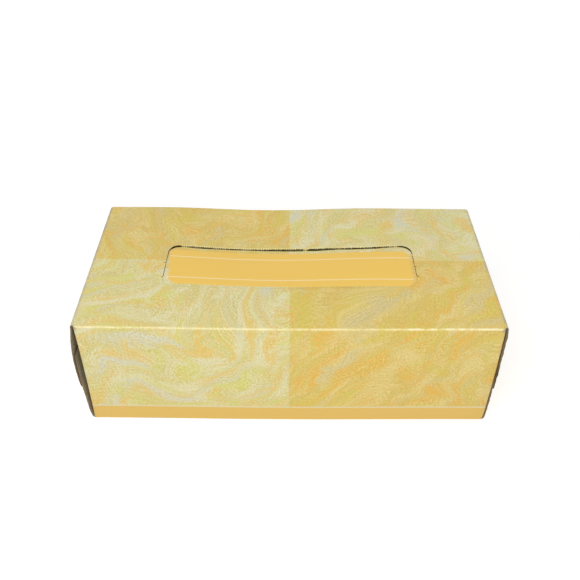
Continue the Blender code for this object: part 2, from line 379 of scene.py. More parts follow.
def sag_at(x, y):
    """How far the top has sunk at a place."""
    across = (y - FRONT) / BOX_DEPTH
    reach = SAG_REACH * (1 - SAG_NARROWING * np.abs(across - SAG_PEAK))
    along = np.clip(np.abs((x / PANEL_LENGTH - SAG_CENTRE) / reach), 0, 1)
    rise = np.sin(math.pi / 2 * np.clip(across, 0, SAG_PEAK) / SAG_PEAK) ** 2
    fall = np.clip((across - SAG_PEAK) / (1 - SAG_PEAK), 0, 1.2)
    deep = np.where(across < SAG_PEAK, SAG_FRONT_SHARE + (1 - SAG_FRONT_SHARE) * rise,
                    1 - (1 - SAG_BACK_SHARE) * fall ** 2)
    return SAG * deep * np.cos(math.pi / 2 * along) ** 2


def waviness(x, y, z):
    """A faint unevenness of the board: one short and one long crossing of slow waves."""
    short = np.sin(x / 0.017 + 2.1 * np.sin(y / 0.031 + 1.3)) * np.sin(z / 0.023 + y / 0.026 + 0.4)
    long = np.sin(x / 0.041 - y / 0.029 + 0.9) * np.cos(z / 0.037 + 1.7)
    return WAVE * (0.55 * short + 0.8 * long)


def shape_by_use(x, y, z, beyond, panel, depth):
    """Sink, bow and belly the folded board, and swell the torn edge of the outer right flap."""
    flap = (beyond > 0) & ((panel == TOP_PANEL) | (panel == BASE_PANEL))
    belly = np.where(x < 0, np.interp(z, BELLY_HEIGHTS, LEFT_BELLY),
                     np.interp(z, BELLY_HEIGHTS, RIGHT_BELLY))
    ripple = 0.55 + 0.30 * np.sin(z / 0.0013 + 1.0) * np.sin(z / 0.0031) + 0.25 * np.sin(z / 0.0049)
    below_top = np.clip((TOP - z) / FLARE_FADE, 0, 1)
    flare = FLARE * np.exp(-(y - FRONT) / FLARE_REACH) * np.maximum(ripple, 0) * below_top
    flare = flare * (1 - depth / BOARD)
    outer = flap & (panel == TOP_PANEL) & (x > 0)
    near_end = (np.clip((np.abs(x) - WALL_SHIFT_START) / WALL_SHIFT_REACH, 0, 1) ** 2
                * np.sin(math.pi * np.clip(z / TOP, 0, 1)) ** 0.5)
    wall = ((panel == FRONT_WALL) | (panel == BACK_WALL)) * near_end
    shift = wall * np.where(x < 0, WALL_SHIFT_LEFT, WALL_SHIFT_RIGHT)
    x = x + np.where(flap, np.sign(x) * belly, 0) + np.where(outer, flare, 0) + shift
    bow = PANEL_BOW * np.cos(math.pi / 2 * np.minimum(np.abs(x) / DUST_FACE, 1)) ** 2
    y = y + bow * y / BACK
    inside = np.clip((DUST_FACE - np.abs(x)) / WAVE_FADE, 0, 1) * np.clip(z / TOP, 0, 1)
    return x, y, z - (sag_at(x, y) + waviness(x, y, z) * inside) * z / TOP


def place_on_box(u, v, depth, settle=None):
    """Fold flat points, shape them by use and let a loose part settle. Also their flat height."""
    x, y, height, beyond, panel = fold(u, v, depth)
    x, y, z = shape_by_use(x, y, height, beyond, panel, depth)
    if settle is not None:
        z = z - settle(x, y)
    return np.stack([x, y, z], 1), height


print("deepest sag", round(float(sag_at(np.array([-0.0128]), np.array([0.021]))[0]) / MM, 2), "mm")

# %% [markdown]
# ## Cutting the blank
#
# A cutting die makes an outline with holes. The outline is drawn as loops of points, and a grid
# of points fills it, dense where the board will bend. A constrained triangulation joins them,
# so the cut edges stay exactly where they were drawn however fine they are. A Boolean on the
# folded box would be quicker to write, but it leaves long thin faces along the cut.

# %% Triangulate a cut sheet
def inside_loops(points, loops):
    """Which points lie inside the loops, by counting crossings, so a loop in a loop is a hole."""
    inside = np.zeros(len(points), bool)
    px, py = points[:, 0], points[:, 1]
    for loop in loops:
        nearby = ((px > loop[:, 0].min()) & (px < loop[:, 0].max())
                  & (py > loop[:, 1].min()) & (py < loop[:, 1].max()))
        x, y = px[nearby][:, None], py[nearby][:, None]
        ax, ay = loop[:, 0][None], loop[:, 1][None]
        bx, by = np.roll(loop[:, 0], -1)[None], np.roll(loop[:, 1], -1)[None]
        spans = (ay > y) != (by > y)
        with np.errstate(divide="ignore", invalid="ignore"):
            at = ax + (y - ay) * (bx - ax) / (by - ay)
        inside[nearby] ^= ((spans & (x < at)).sum(1) % 2).astype(bool)
    return inside


def far_from_loops(points, loops, margin):
    """Keep the points that lie further than a margin from every loop."""
    keep = np.ones(len(points), bool)
    for loop in loops:
        near = ((points > loop.min(0) - margin) & (points < loop.max(0) + margin)).all(1)
        index = np.flatnonzero(near)
        a = loop[None]
        ab = (np.roll(loop, -1, 0) - loop)[None]
        length = np.maximum((ab ** 2).sum(2), 1e-12)
        for part in np.array_split(index, max(len(index) // 2000, 1)):
            p = points[part][:, None]
            along = np.clip(((p - a) * ab).sum(2) / length, 0, 1)
            gap = np.sqrt((((a + ab * along[..., None]) - p) ** 2).sum(2)).min(1)
            keep[part] &= gap > margin
    return points[keep]


GRID_MARGIN = 0.3


def cut_sheet(loops, grid):
    """Triangulate what the loops enclose. They are given in millimetres."""
    grid = far_from_loops(grid[inside_loops(grid, loops)], loops, GRID_MARGIN)
    points, edges = [], []
    for loop in loops:
        first = len(points)
        points += [Vector(p) for p in loop]
        edges += [(first + i, first + (i + 1) % len(loop)) for i in range(len(loop))]
    points += [Vector(p) for p in grid]
    made = delaunay_2d_cdt(points, edges, [], 0, 1e-5, False)
    flat = np.array([tuple(p) for p in made[0]])
    faces = np.array(made[2])
    faces = faces[inside_loops(flat[faces].mean(1), loops)]
    a, b, c = (flat[faces[:, k]] for k in range(3))
    area = (b[:, 0] - a[:, 0]) * (c[:, 1] - a[:, 1]) - (b[:, 1] - a[:, 1]) * (c[:, 0] - a[:, 0])
    faces[area < 0] = faces[area < 0][:, ::-1]
    used, faces = np.unique(faces, return_inverse=True)
    return flat[used] * MM, faces.reshape(-1, 3)


print("sheet cutter ready")

# %% [markdown]
# ## Giving the sheet its thickness
#
# Every flat point becomes two: one on the printed face and one half a millimetre into the
# board. The cut edges are closed with a strip of their own, because on a real carton the raw
# grey edge shows wherever it was cut. Each vertex also keeps how far it is from the creases
# and how high it stands, which the printed finish reads later.

# %% Fold a cut sheet into a closed board
SHARP_EDGE = math.radians(38)


def crease_distances(u, v):
    """How far a flat point is from the front crease, the other long creases and the end ones."""
    front = np.abs(v - CREASES[TOP_PANEL])
    others = np.min([np.abs(v - CREASES[index]) for index in (0, 2, 3)], axis=0)
    end = np.abs(np.abs(u) - (SLEEVE_END + FLAP_LEAD[panel_at(v)] + ARC / 2))
    return front, others, end


def fold_board(name, flat, faces, materials, settle=None):
    """Fold a flat triangulated sheet, thicken it and close its cut edges."""
    u, v = flat[:, 0], flat[:, 1]
    printed, print_height = place_on_box(u, v, 0.0, settle)
    inner, _ = place_on_box(u, v, BOARD, settle)
    count = len(flat)
    edges = np.concatenate([faces[:, [0, 1]], faces[:, [1, 2]], faces[:, [2, 0]]])
    _, index, uses = np.unique(np.sort(edges, 1), axis=0, return_index=True, return_counts=True)
    rim = edges[index[uses == 1]]
    wall = np.stack([rim[:, 1], rim[:, 0], rim[:, 0] + count, rim[:, 1] + count], 1)
    mesh = bpy.data.meshes.new(name)
    every = faces.tolist() + (faces[:, ::-1] + count).tolist() + wall.tolist()
    mesh.from_pydata(np.concatenate([printed, inner]).tolist(), [], every)
    for material in materials:
        mesh.materials.append(material)
    slots = np.repeat([0, 1, 2], [len(faces), len(faces), len(wall)])
    mesh.polygons.foreach_set("material_index", slots.astype(np.int32))
    corners = np.zeros(len(mesh.loops), np.int32)
    mesh.loops.foreach_get("vertex_index", corners)
    on_blank = np.concatenate([flat, flat])[corners].astype(np.float32)
    mesh.uv_layers.new(name="print").data.foreach_set("uv", on_blank.ravel())
    for label, values in zip(("front_crease", "long_crease", "end_crease", "print_height"),
                             (*crease_distances(u, v), print_height)):
        layer = mesh.attributes.new(label, "FLOAT", "POINT")
        layer.data.foreach_set("value", np.concatenate([values, values]).astype(np.float32))
    mesh.validate()
    mesh.shade_smooth()
    mesh.set_sharp_from_angle(angle=SHARP_EDGE)
    print(name, "faces:", len(mesh.polygons))
    return add_object(name, mesh)


# %% [markdown]
# ## Marbled print
#
# The print imitates marbled endpaper. On a marbler's bath, drops of colour are drawn out by a
# rake and then crossed by a comb, which leaves long plumes filled with fine toothed ripples.
# The same moves are made here on a flat pattern: strong slow noise drags the plane into plumes,
# a smaller drag turns them into swirls, then a zigzag combs it. Fine lines, a stipple and frayed
# strokes of colour are drawn only after that, so that all follow the same drag. An image texture
# would be easier, but it would blur up close.

# %% Build the marbling as a node group
PALE_GROUND = srgb(223, 212, 146)
PALE_DEEP = srgb(214, 199, 116)
PALE_LIGHT = srgb(231, 225, 183)
LINE_LIGHT = srgb(242, 237, 204)
LINE_DEEP = srgb(200, 179, 98)
SILVER = srgb(212, 210, 184)
WARM = srgb(231, 197, 100)
MINT = srgb(217, 212, 112)
ALONG_RIB, ACROSS_RIB = (0.50, -0.866, 0.0), (0.866, 0.50, 0.0)
TOOTH_DEPTH, JITTER_ALONG, JITTER_ACROSS = 1.1, 5.5, 4.0
FINE_LINES, BROAD_LINES = 0.42, 0.24
STROKE_WIDTH = 9.0
SILVER_FOIL, LINE_FOIL = 0.22, 0.15

marbling, given, result = new_group(
    "marbling",
    [("Print", PLACE, None), ("Plume Size", VALUE, 95.0), ("Drag", VALUE, 85.0),
     ("Swirl Size", VALUE, 27.0), ("Swirl Drag", VALUE, 40.0), ("Feather Width", VALUE, 24.0),
     ("Barb Slope", VALUE, 1.2), ("Fringe", VALUE, 13.0), ("Tooth Pitch", VALUE, 1.9),
     ("Line Pitch", VALUE, 1.5), ("Line Strength", VALUE, 0.62), ("Speckle", VALUE, 3.5)],
    [("Color", COLOUR), ("Foil", VALUE), ("Relief", VALUE)])


def drag(vector, size, strength, detail):
    """Pull a pattern about by slow noise."""
    cloud = noise(vector_calc("SCALE", vector, calc("DIVIDE", 1.0, size)), 1.0, detail, out="Color")
    pull = vector_calc("SUBTRACT", cloud, (0.5, 0.5, 0.5))
    return vector_calc("ADD", vector, vector_calc("SCALE", pull, strength))


place = vector_calc("SCALE", given["Print"], 1 / MM)
plume = drag(place, given["Plume Size"], given["Drag"], 0.0)
plume = drag(plume, given["Swirl Size"], given["Swirl Drag"], 1.0)
rib = vector_calc("DOT_PRODUCT", plume, ALONG_RIB)
side = vector_calc("DOT_PRODUCT", plume, ACROSS_RIB)
from_rib = calc("PINGPONG", side, times(given["Feather Width"], 0.5))
raked = plus(rib, times(from_rib, given["Barb Slope"]))
jitter = minus(noise(place, 0.5, 3.0, 0.75), 0.5)
teeth = calc("PINGPONG", plus(side, times(jitter, JITTER_ACROSS)),
             times(given["Tooth Pitch"], 0.5))
combed = plus(raked, plus(times(teeth, TOOTH_DEPTH), times(jitter, JITTER_ALONG)))
phase = calc("DIVIDE", times(combed, 2 * math.pi), given["Line Pitch"])
line = calc("SINE", phase)
broad_line = calc("SINE", plus(times(phase, 0.37), 1.0))


def patches(first, second, long, wide, shift, detail=1.0):
    """Noise drawn out along one direction."""
    spot = combine(calc("DIVIDE", first, long), calc("DIVIDE", second, wide), shift)
    return noise(spot, 1.0, detail, 0.5)


fray = times(minus(patches(side, combed, 5.0, 1.3, 7.7, 2.0), 0.5), given["Fringe"])
frayed_side, frayed_rib = plus(side, fray), plus(rib, fray)


def strokes(shift, long, fine_share, start, end):
    """Colour that gathers in broad strokes with frayed edges, broken up by fine streaks."""
    fine = patches(side, combed, 3.0, 1.1, shift)
    broad = patches(frayed_rib, frayed_side, long, STROKE_WIDTH, shift + 5.1)
    return ramp(plus(times(fine, fine_share), times(broad, 1.0 - fine_share)), start, end)


tone = strokes(3.7, long=30.0, fine_share=0.38, start=0.40, end=0.60)
silver = strokes(11.3, long=26.0, fine_share=0.28, start=0.54, end=0.71)
warm = strokes(23.9, long=24.0, fine_share=0.30, start=0.47, end=0.65)
mint = strokes(41.1, long=22.0, fine_share=0.30, start=0.48, end=0.66)
ground = blend_colour(0.2, blend_colour(tone, PALE_DEEP, PALE_LIGHT), PALE_GROUND)
for share, colour in ((mint, MINT), (warm, WARM), (silver, SILVER)):
    ground = blend_colour(share, ground, colour)
patchy = ramp(noise(plume, 0.09), 0.34, 0.64, 0.45, 1.0)
power = times(given["Line Strength"], patchy)
speck = times(minus(noise(place, 0.95, 1.0, 0.6), 0.5), given["Speckle"])
ripple = plus(plus(times(line, FINE_LINES), times(broad_line, BROAD_LINES)), speck)
light = calc("MULTIPLY", calc("MAXIMUM", ripple, 0.0), power, clamp=True)
deep = calc("MULTIPLY", calc("MAXIMUM", times(ripple, -1.0), 0.0), power, clamp=True)
lined = blend_colour(deep, blend_colour(light, ground, LINE_LIGHT), LINE_DEEP)
connect(result, {"Color": lined, "Relief": ripple,
                 "Foil": calc("MAXIMUM", times(silver, SILVER_FOIL), times(light, LINE_FOIL))})
print("marbling group:", len(marbling.nodes), "nodes")

# %% [markdown]
# ## Crease wear with painted light, and paper grain
#
# Two effects show on more than one finish, so each is a group of its own. Along a crease the
# varnish cracks and the board's pale fibres come through in broken dashes. The same mask also
# lays a painted highlight along the front crease and painted shade along the end creases. Paper
# and board alike have a faint felt-like grain.

# %% Build the wear and grain groups
crease_wear_and_light, given, result = new_group(
    "crease_wear_and_light",
    [("Distance", VALUE, 1.0), ("Place", PLACE, None), ("Width", VALUE, 0.0008),
     ("Patchiness", VALUE, 0.5), ("Strength", VALUE, 1.0)],
    [("Mask", VALUE)])
streak = noise(given["Place"], 160.0, 4.0, 0.6)
fleck = noise(given["Place"], 1500.0, 2.0, 0.6)
reach = times(given["Width"], plus(0.35, times(fleck, 1.3)))
near = calc("SUBTRACT", 1.0, calc("DIVIDE", given["Distance"], reach), clamp=True)
bare = ramp(streak, times(given["Patchiness"], 0.8), 0.62)
spell = ramp(noise(given["Place"], 24.0, 1.0), 0.40, 0.60, 0.6, 1.0)
mask = times(times(calc("POWER", near, 0.6), bare), spell)
connect(result, {"Mask": calc("MULTIPLY", mask, given["Strength"], clamp=True)})

paper_grain, given, result = new_group(
    "paper_grain",
    [("Place", PLACE, None), ("Scale", VALUE, 900.0), ("Fleck Amount", VALUE, 0.1)],
    [("Height", VALUE), ("Tint", VALUE)])
fleck = noise(given["Place"], times(given["Scale"], 0.45), 3.0, 0.7)
connect(result, {"Height": noise(given["Place"], given["Scale"], 4.0, 0.65),
                 "Tint": plus(1.0, times(given["Fleck Amount"], minus(fleck, 0.5)))})
print("wear group:", len(crease_wear_and_light.nodes), "nodes, grain group:", len(paper_grain.nodes), "nodes")

# %% [markdown]
# ## The printed finishes
#
# The front and top are divided into four fields, each either pale or gold. A gold field is the
# same marbling under a golden glaze, so it is made by multiplying, not by a second pattern. The
# carton and the lid are cut from one sheet, so the fields, the wear along the creases with its
# painted highlight and shade, and the varnish are helpers that both prints use.

# %% Start a finish
FIELD_SPLIT_X = 0.0
FIELD_SPLIT_V = V_OF_BACK + BACK - 0.0015
FIELD_BLUR, LINE_BLUR = 0.0001, 0.00012
GOLD_TINT = (1.0, 0.855, 0.515, 1)
# Pale board core along the long creases; along the front crease it is also a painted highlight.
PALE_CORE_AND_HIGHLIGHT = srgb(248, 238, 186)
# Grey board core at the corners and the end creases; along the end creases on top it is also
# painted crease shade.
GREY_CORE_AND_SHADE = srgb(158, 154, 142)
# Heights where the end creases' grey, partly painted shade, fades in towards the top.
END_GREY_LOW, END_GREY_HIGH = TOP - 0.004, TOP - 0.001
CORNER_START, CORNER_END = 0.0007, 0.0020


def new_material(name):
    """A new material, its tree and the inputs of its Principled shader."""
    material = bpy.data.materials.new(name)
    material.use_nodes = True
    tree = material.node_tree
    return material, tree, tree.nodes["Principled BSDF"].inputs


def named_value(tree, name):
    """A number stored on the mesh."""
    return add_node(tree, "ShaderNodeAttribute", attribute_name=name).outputs["Fac"]


def grain_at(place, scale, amount):
    """The height and the tint of the paper grain."""
    return add_node(place.id_data, "ShaderNodeGroup",
                    {"Place": place, "Scale": scale, "Fleck Amount": amount},
                    node_tree=paper_grain).outputs


def wear_and_light_at(uv, crease, width, patchiness, strength):
    """A mask beside one kind of crease: rubbed print, along the front and end creases also painted
    highlight and shade.
    """
    return add_step(uv.id_data, "ShaderNodeGroup",
                    {"Distance": named_value(uv.id_data, crease), "Place": uv, "Width": width,
                     "Patchiness": patchiness, "Strength": strength}, node_tree=crease_wear_and_light)


def bump(height, strength, distance):
    """Fine relief in a finish."""
    return add_step(height.id_data, "ShaderNodeBump",
                    {"Height": height, "Strength": strength, "Distance": distance})


def step_at(value, place):
    """Zero before a place and one after it, with a crisp printed edge."""
    return ramp(value, place - FIELD_BLUR, place + FIELD_BLUR)


def stripe(value, middle, half):
    """A line of a given half width round the middle of a value."""
    off = calc("ABSOLUTE", minus(value, middle))
    return ramp(off, half - LINE_BLUR, half + LINE_BLUR, 1.0, 0.0)


def marbled_fields(tree):
    """The place on the blank, its two numbers, the marbled colour in its fields, the marbling."""
    uv = add_step(tree, "ShaderNodeUVMap", uv_map="print")
    marbled = add_node(tree, "ShaderNodeGroup", {"Print": uv}, node_tree=marbling).outputs
    parts = add_node(tree, "ShaderNodeSeparateXYZ", {0: uv}).outputs
    differ = minus(step_at(parts["X"], FIELD_SPLIT_X), step_at(parts["Y"], FIELD_SPLIT_V))
    gold = minus(1.0, calc("ABSOLUTE", differ))
    glazed = blend_colour(1.0, marbled["Color"], GOLD_TINT, "MULTIPLY")
    return uv, parts, blend_colour(gold, marbled["Color"], glazed), marbled


def finish_board(tree, shader, uv, colour, marbled, share):
    """Join wear with its painted highlight and shade, grain and varnish to a printed colour. The
    share tells where marbling shows.
    """
    # Front crease: rubbed print and painted highlight. End creases: rubbed core and painted crease
    # shade. Other long creases: rubbed print only.
    front = wear_and_light_at(uv, "front_crease", width=0.0009, patchiness=0.30, strength=1.2)
    other = wear_and_light_at(uv, "long_crease", width=0.0008, patchiness=0.55, strength=0.5)
    end = wear_and_light_at(uv, "end_crease", width=0.0017, patchiness=0.22, strength=0.9)
    on_top = ramp(named_value(tree, "print_height"), END_GREY_LOW, END_GREY_HIGH, 0.15, 1.0)
    to_corner = calc("MAXIMUM", named_value(tree, "front_crease"), named_value(tree, "end_crease"))
    dulled = ramp(to_corner, CORNER_START, CORNER_END, 0.85, 0.0)
    for amount, under in ((other, PALE_CORE_AND_HIGHLIGHT), (times(end, on_top), GREY_CORE_AND_SHADE),
                          (front, PALE_CORE_AND_HIGHLIGHT), (dulled, GREY_CORE_AND_SHADE)):
        colour = blend_colour(amount, colour, under)
    grain = grain_at(uv, 1400.0, 0.05)
    worn = calc("MAXIMUM", front, calc("MAXIMUM", other, end))
    relief = times(times(marbled["Relief"], share), 0.15)
    connect(shader, {"Base Color": vector_calc("SCALE", colour, grain["Tint"]),
                     "Metallic": times(times(marbled["Foil"], share), minus(1.0, worn)),
                     "Roughness": ramp(worn, 0.0, 1.0, 0.42, 0.75),
                     "Normal": bump(plus(times(grain["Height"], 0.7), relief), 0.25, 0.00004),
                     "Coat Weight": 0.12, "Coat Roughness": 0.28})
    print("printed finish:", len(tree.nodes), "nodes")


# %% [markdown]
# ## The carton's print
#
# An orange band with a thin pale line runs round the foot. The end flaps are tinted paler and
# duller. The band follows the height that is stored on the mesh, because a height on the blank
# would have to be worked out again for every panel.

# %% Mix the carton's print
BAND_TOP, PALE_LINE = 0.0109, 0.0010
PALE_LINE_COLOUR = srgb(228, 216, 172)
BAND_COLOUR = srgb(229, 190, 94)
END_TINT, END_TINT_FADE = 0.28, 0.002
END_TINT_COLOUR = srgb(240, 218, 186)

printed_board, tree, shader = new_material("marbled_print")
uv, parts, colour, marbled = marbled_fields(tree)
height = named_value(tree, "print_height")
band = ramp(height, BAND_TOP - FIELD_BLUR, BAND_TOP + FIELD_BLUR, 1.0, 0.0)
pale_line = stripe(height, BAND_TOP + PALE_LINE / 2, PALE_LINE / 2)
# The end flaps get a paler tint over their print.
on_end = ramp(calc("ABSOLUTE", parts["X"]), DUST_FACE, DUST_FACE + END_TINT_FADE, 0.0, END_TINT)
for amount, ink in ((band, BAND_COLOUR), (pale_line, PALE_LINE_COLOUR), (on_end, END_TINT_COLOUR)):
    colour = blend_colour(amount, colour, ink)
finish_board(tree, shader, uv, colour, marbled, minus(1.0, calc("MAXIMUM", band, pale_line)))

# %% [markdown]
# ## The lid's print
#
# The lid has a plain orange field with two thin rules. Its words are left off and the field is
# left plain there. The field was printed a little askew: it slopes, its left edge leans, and its
# front corners are rounder than its back ones. It is drawn by the distance to its outline, which
# stays crisp however close the camera comes.

# %% Mix the lid's print
LID_FIELD_LEFT, LID_FIELD_RIGHT = -0.0718, 0.0720
LID_FIELD_FRONT, LID_FIELD_BACK = -0.0219, 0.0120
LID_FIELD_SLOPE, LID_FIELD_LEAN = -0.012, -0.076
FRONT_CORNER, BACK_CORNER, CORNER_BLEND = 0.006, 0.004, 0.006
RULE_PLACES, RULE_HALF = (0.0054, -0.0155), 0.00042
LID_COLOUR = srgb(245, 201, 86)
RULE_COLOUR = srgb(252, 226, 165)

lid_print, tree, shader = new_material("orange_field_print")
uv, parts, colour, marbled = marbled_fields(tree)
x = parts["X"]
y = minus(V_OF_BACK + BACK, parts["Y"])
tilted = minus(y, times(x, LID_FIELD_SLOPE))
middle = (LID_FIELD_FRONT + LID_FIELD_BACK) / 2
half_depth = (LID_FIELD_BACK - LID_FIELD_FRONT) / 2
radius = ramp(tilted, middle - CORNER_BLEND, middle + CORNER_BLEND, FRONT_CORNER, BACK_CORNER)
left_edge = plus(times(y, LID_FIELD_LEAN), LID_FIELD_LEFT)
from_sides = calc("MINIMUM", minus(x, left_edge), minus(LID_FIELD_RIGHT, x))
over_x = minus(radius, from_sides)
over_y = minus(plus(calc("ABSOLUTE", minus(tilted, middle)), radius), half_depth)
past = vector_calc("LENGTH", combine(calc("MAXIMUM", over_x, 0.0), calc("MAXIMUM", over_y, 0.0)))
field = ramp(minus(past, radius), -LINE_BLUR, LINE_BLUR, 1.0, 0.0)
rules = calc("MAXIMUM", *[stripe(tilted, place, RULE_HALF) for place in RULE_PLACES])
colour = blend_colour(field, colour, LID_COLOUR)
colour = blend_colour(times(rules, field), colour, RULE_COLOUR)
finish_board(tree, shader, uv, colour, marbled, minus(1.0, field))

# %% [markdown]
# ## Raw board and tissue
#
# Inside, the board is plain recycled grey-brown with dark and light flecks. Its cut edge is
# browner and fibrous. Away from the ends, round the opening, it is painted nearly black-brown:
# painted shade for the deep shadow in the narrow gap round the lid. Torn fibres are pale. The
# tissues are soft yellow creped paper, matte, with fine crinkles that run across the sheet.

# %% Mix the unprinted finishes
GAP_SHADE_START, GAP_SHADE_END = 0.028, 0.036
CREPE_SCALE = (2600.0, 260.0, 400.0)

board_back, tree, shader = new_material("unprinted_board")
uv = add_step(tree, "ShaderNodeUVMap", uv_map="print")
grain = grain_at(uv, 1100.0, 0.9)
cloud = ramp(noise(uv, 90.0, 3.0), 0.3, 0.7)
tone = blend_colour(cloud, srgb(174, 167, 154), srgb(190, 183, 169))
connect(shader, {"Base Color": vector_calc("SCALE", tone, grain["Tint"]), "Roughness": 0.85,
                 "Normal": bump(grain["Height"], 0.5, 0.0001)})

cut_edge, tree, shader = new_material("cut_board_edge")
place = add_node(tree, "ShaderNodeTexCoord").outputs["Object"]
grain = grain_at(place, 2600.0, 1.1)
tone = blend_colour(noise(place, 700.0, 3.0), srgb(106, 85, 50), srgb(146, 121, 78))
# Painted shade: cut edges far from the end creases, round the opening, are darkened to the gap's
# deep shadow.
gap_shade = ramp(named_value(tree, "end_crease"), GAP_SHADE_START, GAP_SHADE_END, 0.0, 0.85)
tone = blend_colour(gap_shade, tone, srgb(80, 56, 8))
connect(shader, {"Base Color": vector_calc("SCALE", tone, grain["Tint"]), "Roughness": 0.9,
                 "Normal": bump(grain["Height"], 0.8, 0.00012)})

torn_fibre, tree, shader = new_material("torn_board_fibre")
place = add_node(tree, "ShaderNodeTexCoord").outputs["Object"]
tone = blend_colour(noise(place, 500.0, 2.0), srgb(238, 222, 142), srgb(252, 242, 186))
tint = grain_at(place, 2600.0, 0.5)["Tint"]
connect(shader, {"Base Color": vector_calc("SCALE", tone, tint), "Roughness": 0.95})

tissue_paper, tree, shader = new_material("creped_tissue")
place = add_node(tree, "ShaderNodeTexCoord").outputs["Object"]
crepe = add_step(tree, "ShaderNodeMapping", {"Vector": place, "Scale": CREPE_SCALE})
crinkle = noise(crepe, 1.0, 3.0, 0.6)
soft = noise(place, 140.0, 3.0, 0.6)
tone = blend_colour(ramp(crinkle, 0.3, 0.7), srgb(247, 229, 148), srgb(253, 241, 174))
connect(shader, {"Base Color": tone, "Roughness": 0.95,
                 "Normal": bump(plus(crinkle, times(soft, 1.5)), 0.6, 0.00025)})
print("raw board and tissue mixed")

# %% [markdown]
# ## The carton's blank
#
# One loop goes round the whole sheet: four panels, the glue tab, four short dust flaps and four
# large flaps. The second loop is the opening in the top. The flaps' edges are drawn a little
# ragged, as torn and rubbed board is, most of all at the right end.

# %% Draw the carton's outline
MAJOR_FLAP, MAJOR_BEVEL, MAJOR_ROUND = 0.68 * TOP, 0.0012, 0.0025
DUST_FLAP, DUST_BEVEL, DUST_ROUND = 0.36 * BOX_DEPTH, 0.007, 0.004
TAB_BEVEL, TAB_ROUND = 0.009, 0.002
FLAP_INSET = 0.0002
CORNER_LIP = 0.0009
RAGGED_FROM, RAGGED_RIGHT, RAGGED_LEFT = SLEEVE_END / MM + 3.0, 0.14, 0.07


def rounded(points, steps=6):
    """A loop of (x, y, radius) corners as plain points, each corner turned in an arc."""
    made = []
    count = len(points)
    for index, (x, y, radius) in enumerate(points):
        here = np.array([x, y])
        before = np.array(points[index - 1][:2]) - here
        after = np.array(points[(index + 1) % count][:2]) - here
        if radius <= 0:
            made.append(here)
            continue
        before, after = before / np.linalg.norm(before), after / np.linalg.norm(after)
        half = math.acos(np.clip(before @ after, -1, 1)) / 2
        reach = radius / math.tan(half)
        centre = here + (before + after) / np.linalg.norm(before + after) * radius / math.sin(half)
        start, end = here + before * reach - centre, here + after * reach - centre
        sweep = math.atan2(start[0] * end[1] - start[1] * end[0], start @ end)
        for part in range(steps + 1):
            angle = sweep * part / steps
            c, s = math.cos(angle), math.sin(angle)
            made.append(centre + np.array([start[0] * c - start[1] * s,
                                           start[0] * s + start[1] * c]))
    return np.array(made)


def divide(loop, step):
    """Split the long stretches of a loop so that no stretch is longer than a step."""
    made = []
    for a, b in zip(loop, np.roll(loop, -1, 0)):
        count = max(int(math.ceil(np.linalg.norm(b - a) / step)), 1)
        made += [a + (b - a) * index / count for index in range(count)]
    return np.array(made)


def blank_side():
    """Half of the outline, at positive u, going from the back's foot to the tab's end."""
    end = SLEEVE_END
    path = [(end, 0, 0)]
    dust_out = end + ARC + DUST_FLAP - CREASE_RADIUS
    for panel in range(4):
        low = RUN_START[panel] + FLAP_INSET
        high = RUN_START[panel] + RUNS[panel] - FLAP_INSET
        path.append((end, low, 0))
        if panel in (BACK_WALL, FRONT_WALL):
            path += [(end + ARC, low, 0), (dust_out, low + DUST_BEVEL, DUST_ROUND),
                     (dust_out, high - DUST_BEVEL, DUST_ROUND), (end + ARC, high, 0)]
        else:
            out = end + FLAP_LEAD[panel] + ARC + MAJOR_FLAP - CREASE_RADIUS
            path += [(out, low + MAJOR_BEVEL, MAJOR_ROUND), (out, high - MAJOR_BEVEL, MAJOR_ROUND)]
        path.append((end, high, 0))
        path += [(end + CORNER_LIP, CREASES[panel] - ARC / 3, 0),
                 (end + CORNER_LIP, CREASES[panel] + ARC / 3, 0)]
    return path + [(end, RUN_START[4], 0), (end - TAB_BEVEL, BLANK_END, TAB_ROUND)]


right = blank_side()
left = [(-u, v, radius) for u, v, radius in reversed(right)]
outline = divide(rounded(right + left) * TO_MM, 1.0)
roughness = np.where(outline[:, 0] > 0, RAGGED_RIGHT, RAGGED_LEFT)
roughness = roughness * (np.abs(outline[:, 0]) > RAGGED_FROM)
rng = np.random.default_rng(7)
outline = outline + rng.normal(0, 1, outline.shape) * roughness[:, None]
print("outline points:", len(outline))

# %% [markdown]
# ## The parting line of the lid
#
# The lid isn't cut out cleanly. A perforation rule leaves small ties, and pulling has torn most
# of those along the back, where the edges now stand apart by different amounts. At the sides the
# rule made short slits whose ends hook outwards so that a tear can't run on. The front is still
# closed. One line is drawn round the lid, each side of it is moved off by half the local gap,
# and the hooks are pulled out of the carton's side only. So every cut is a real gap in real
# board, and where a tie holds, the gap nearly closes.

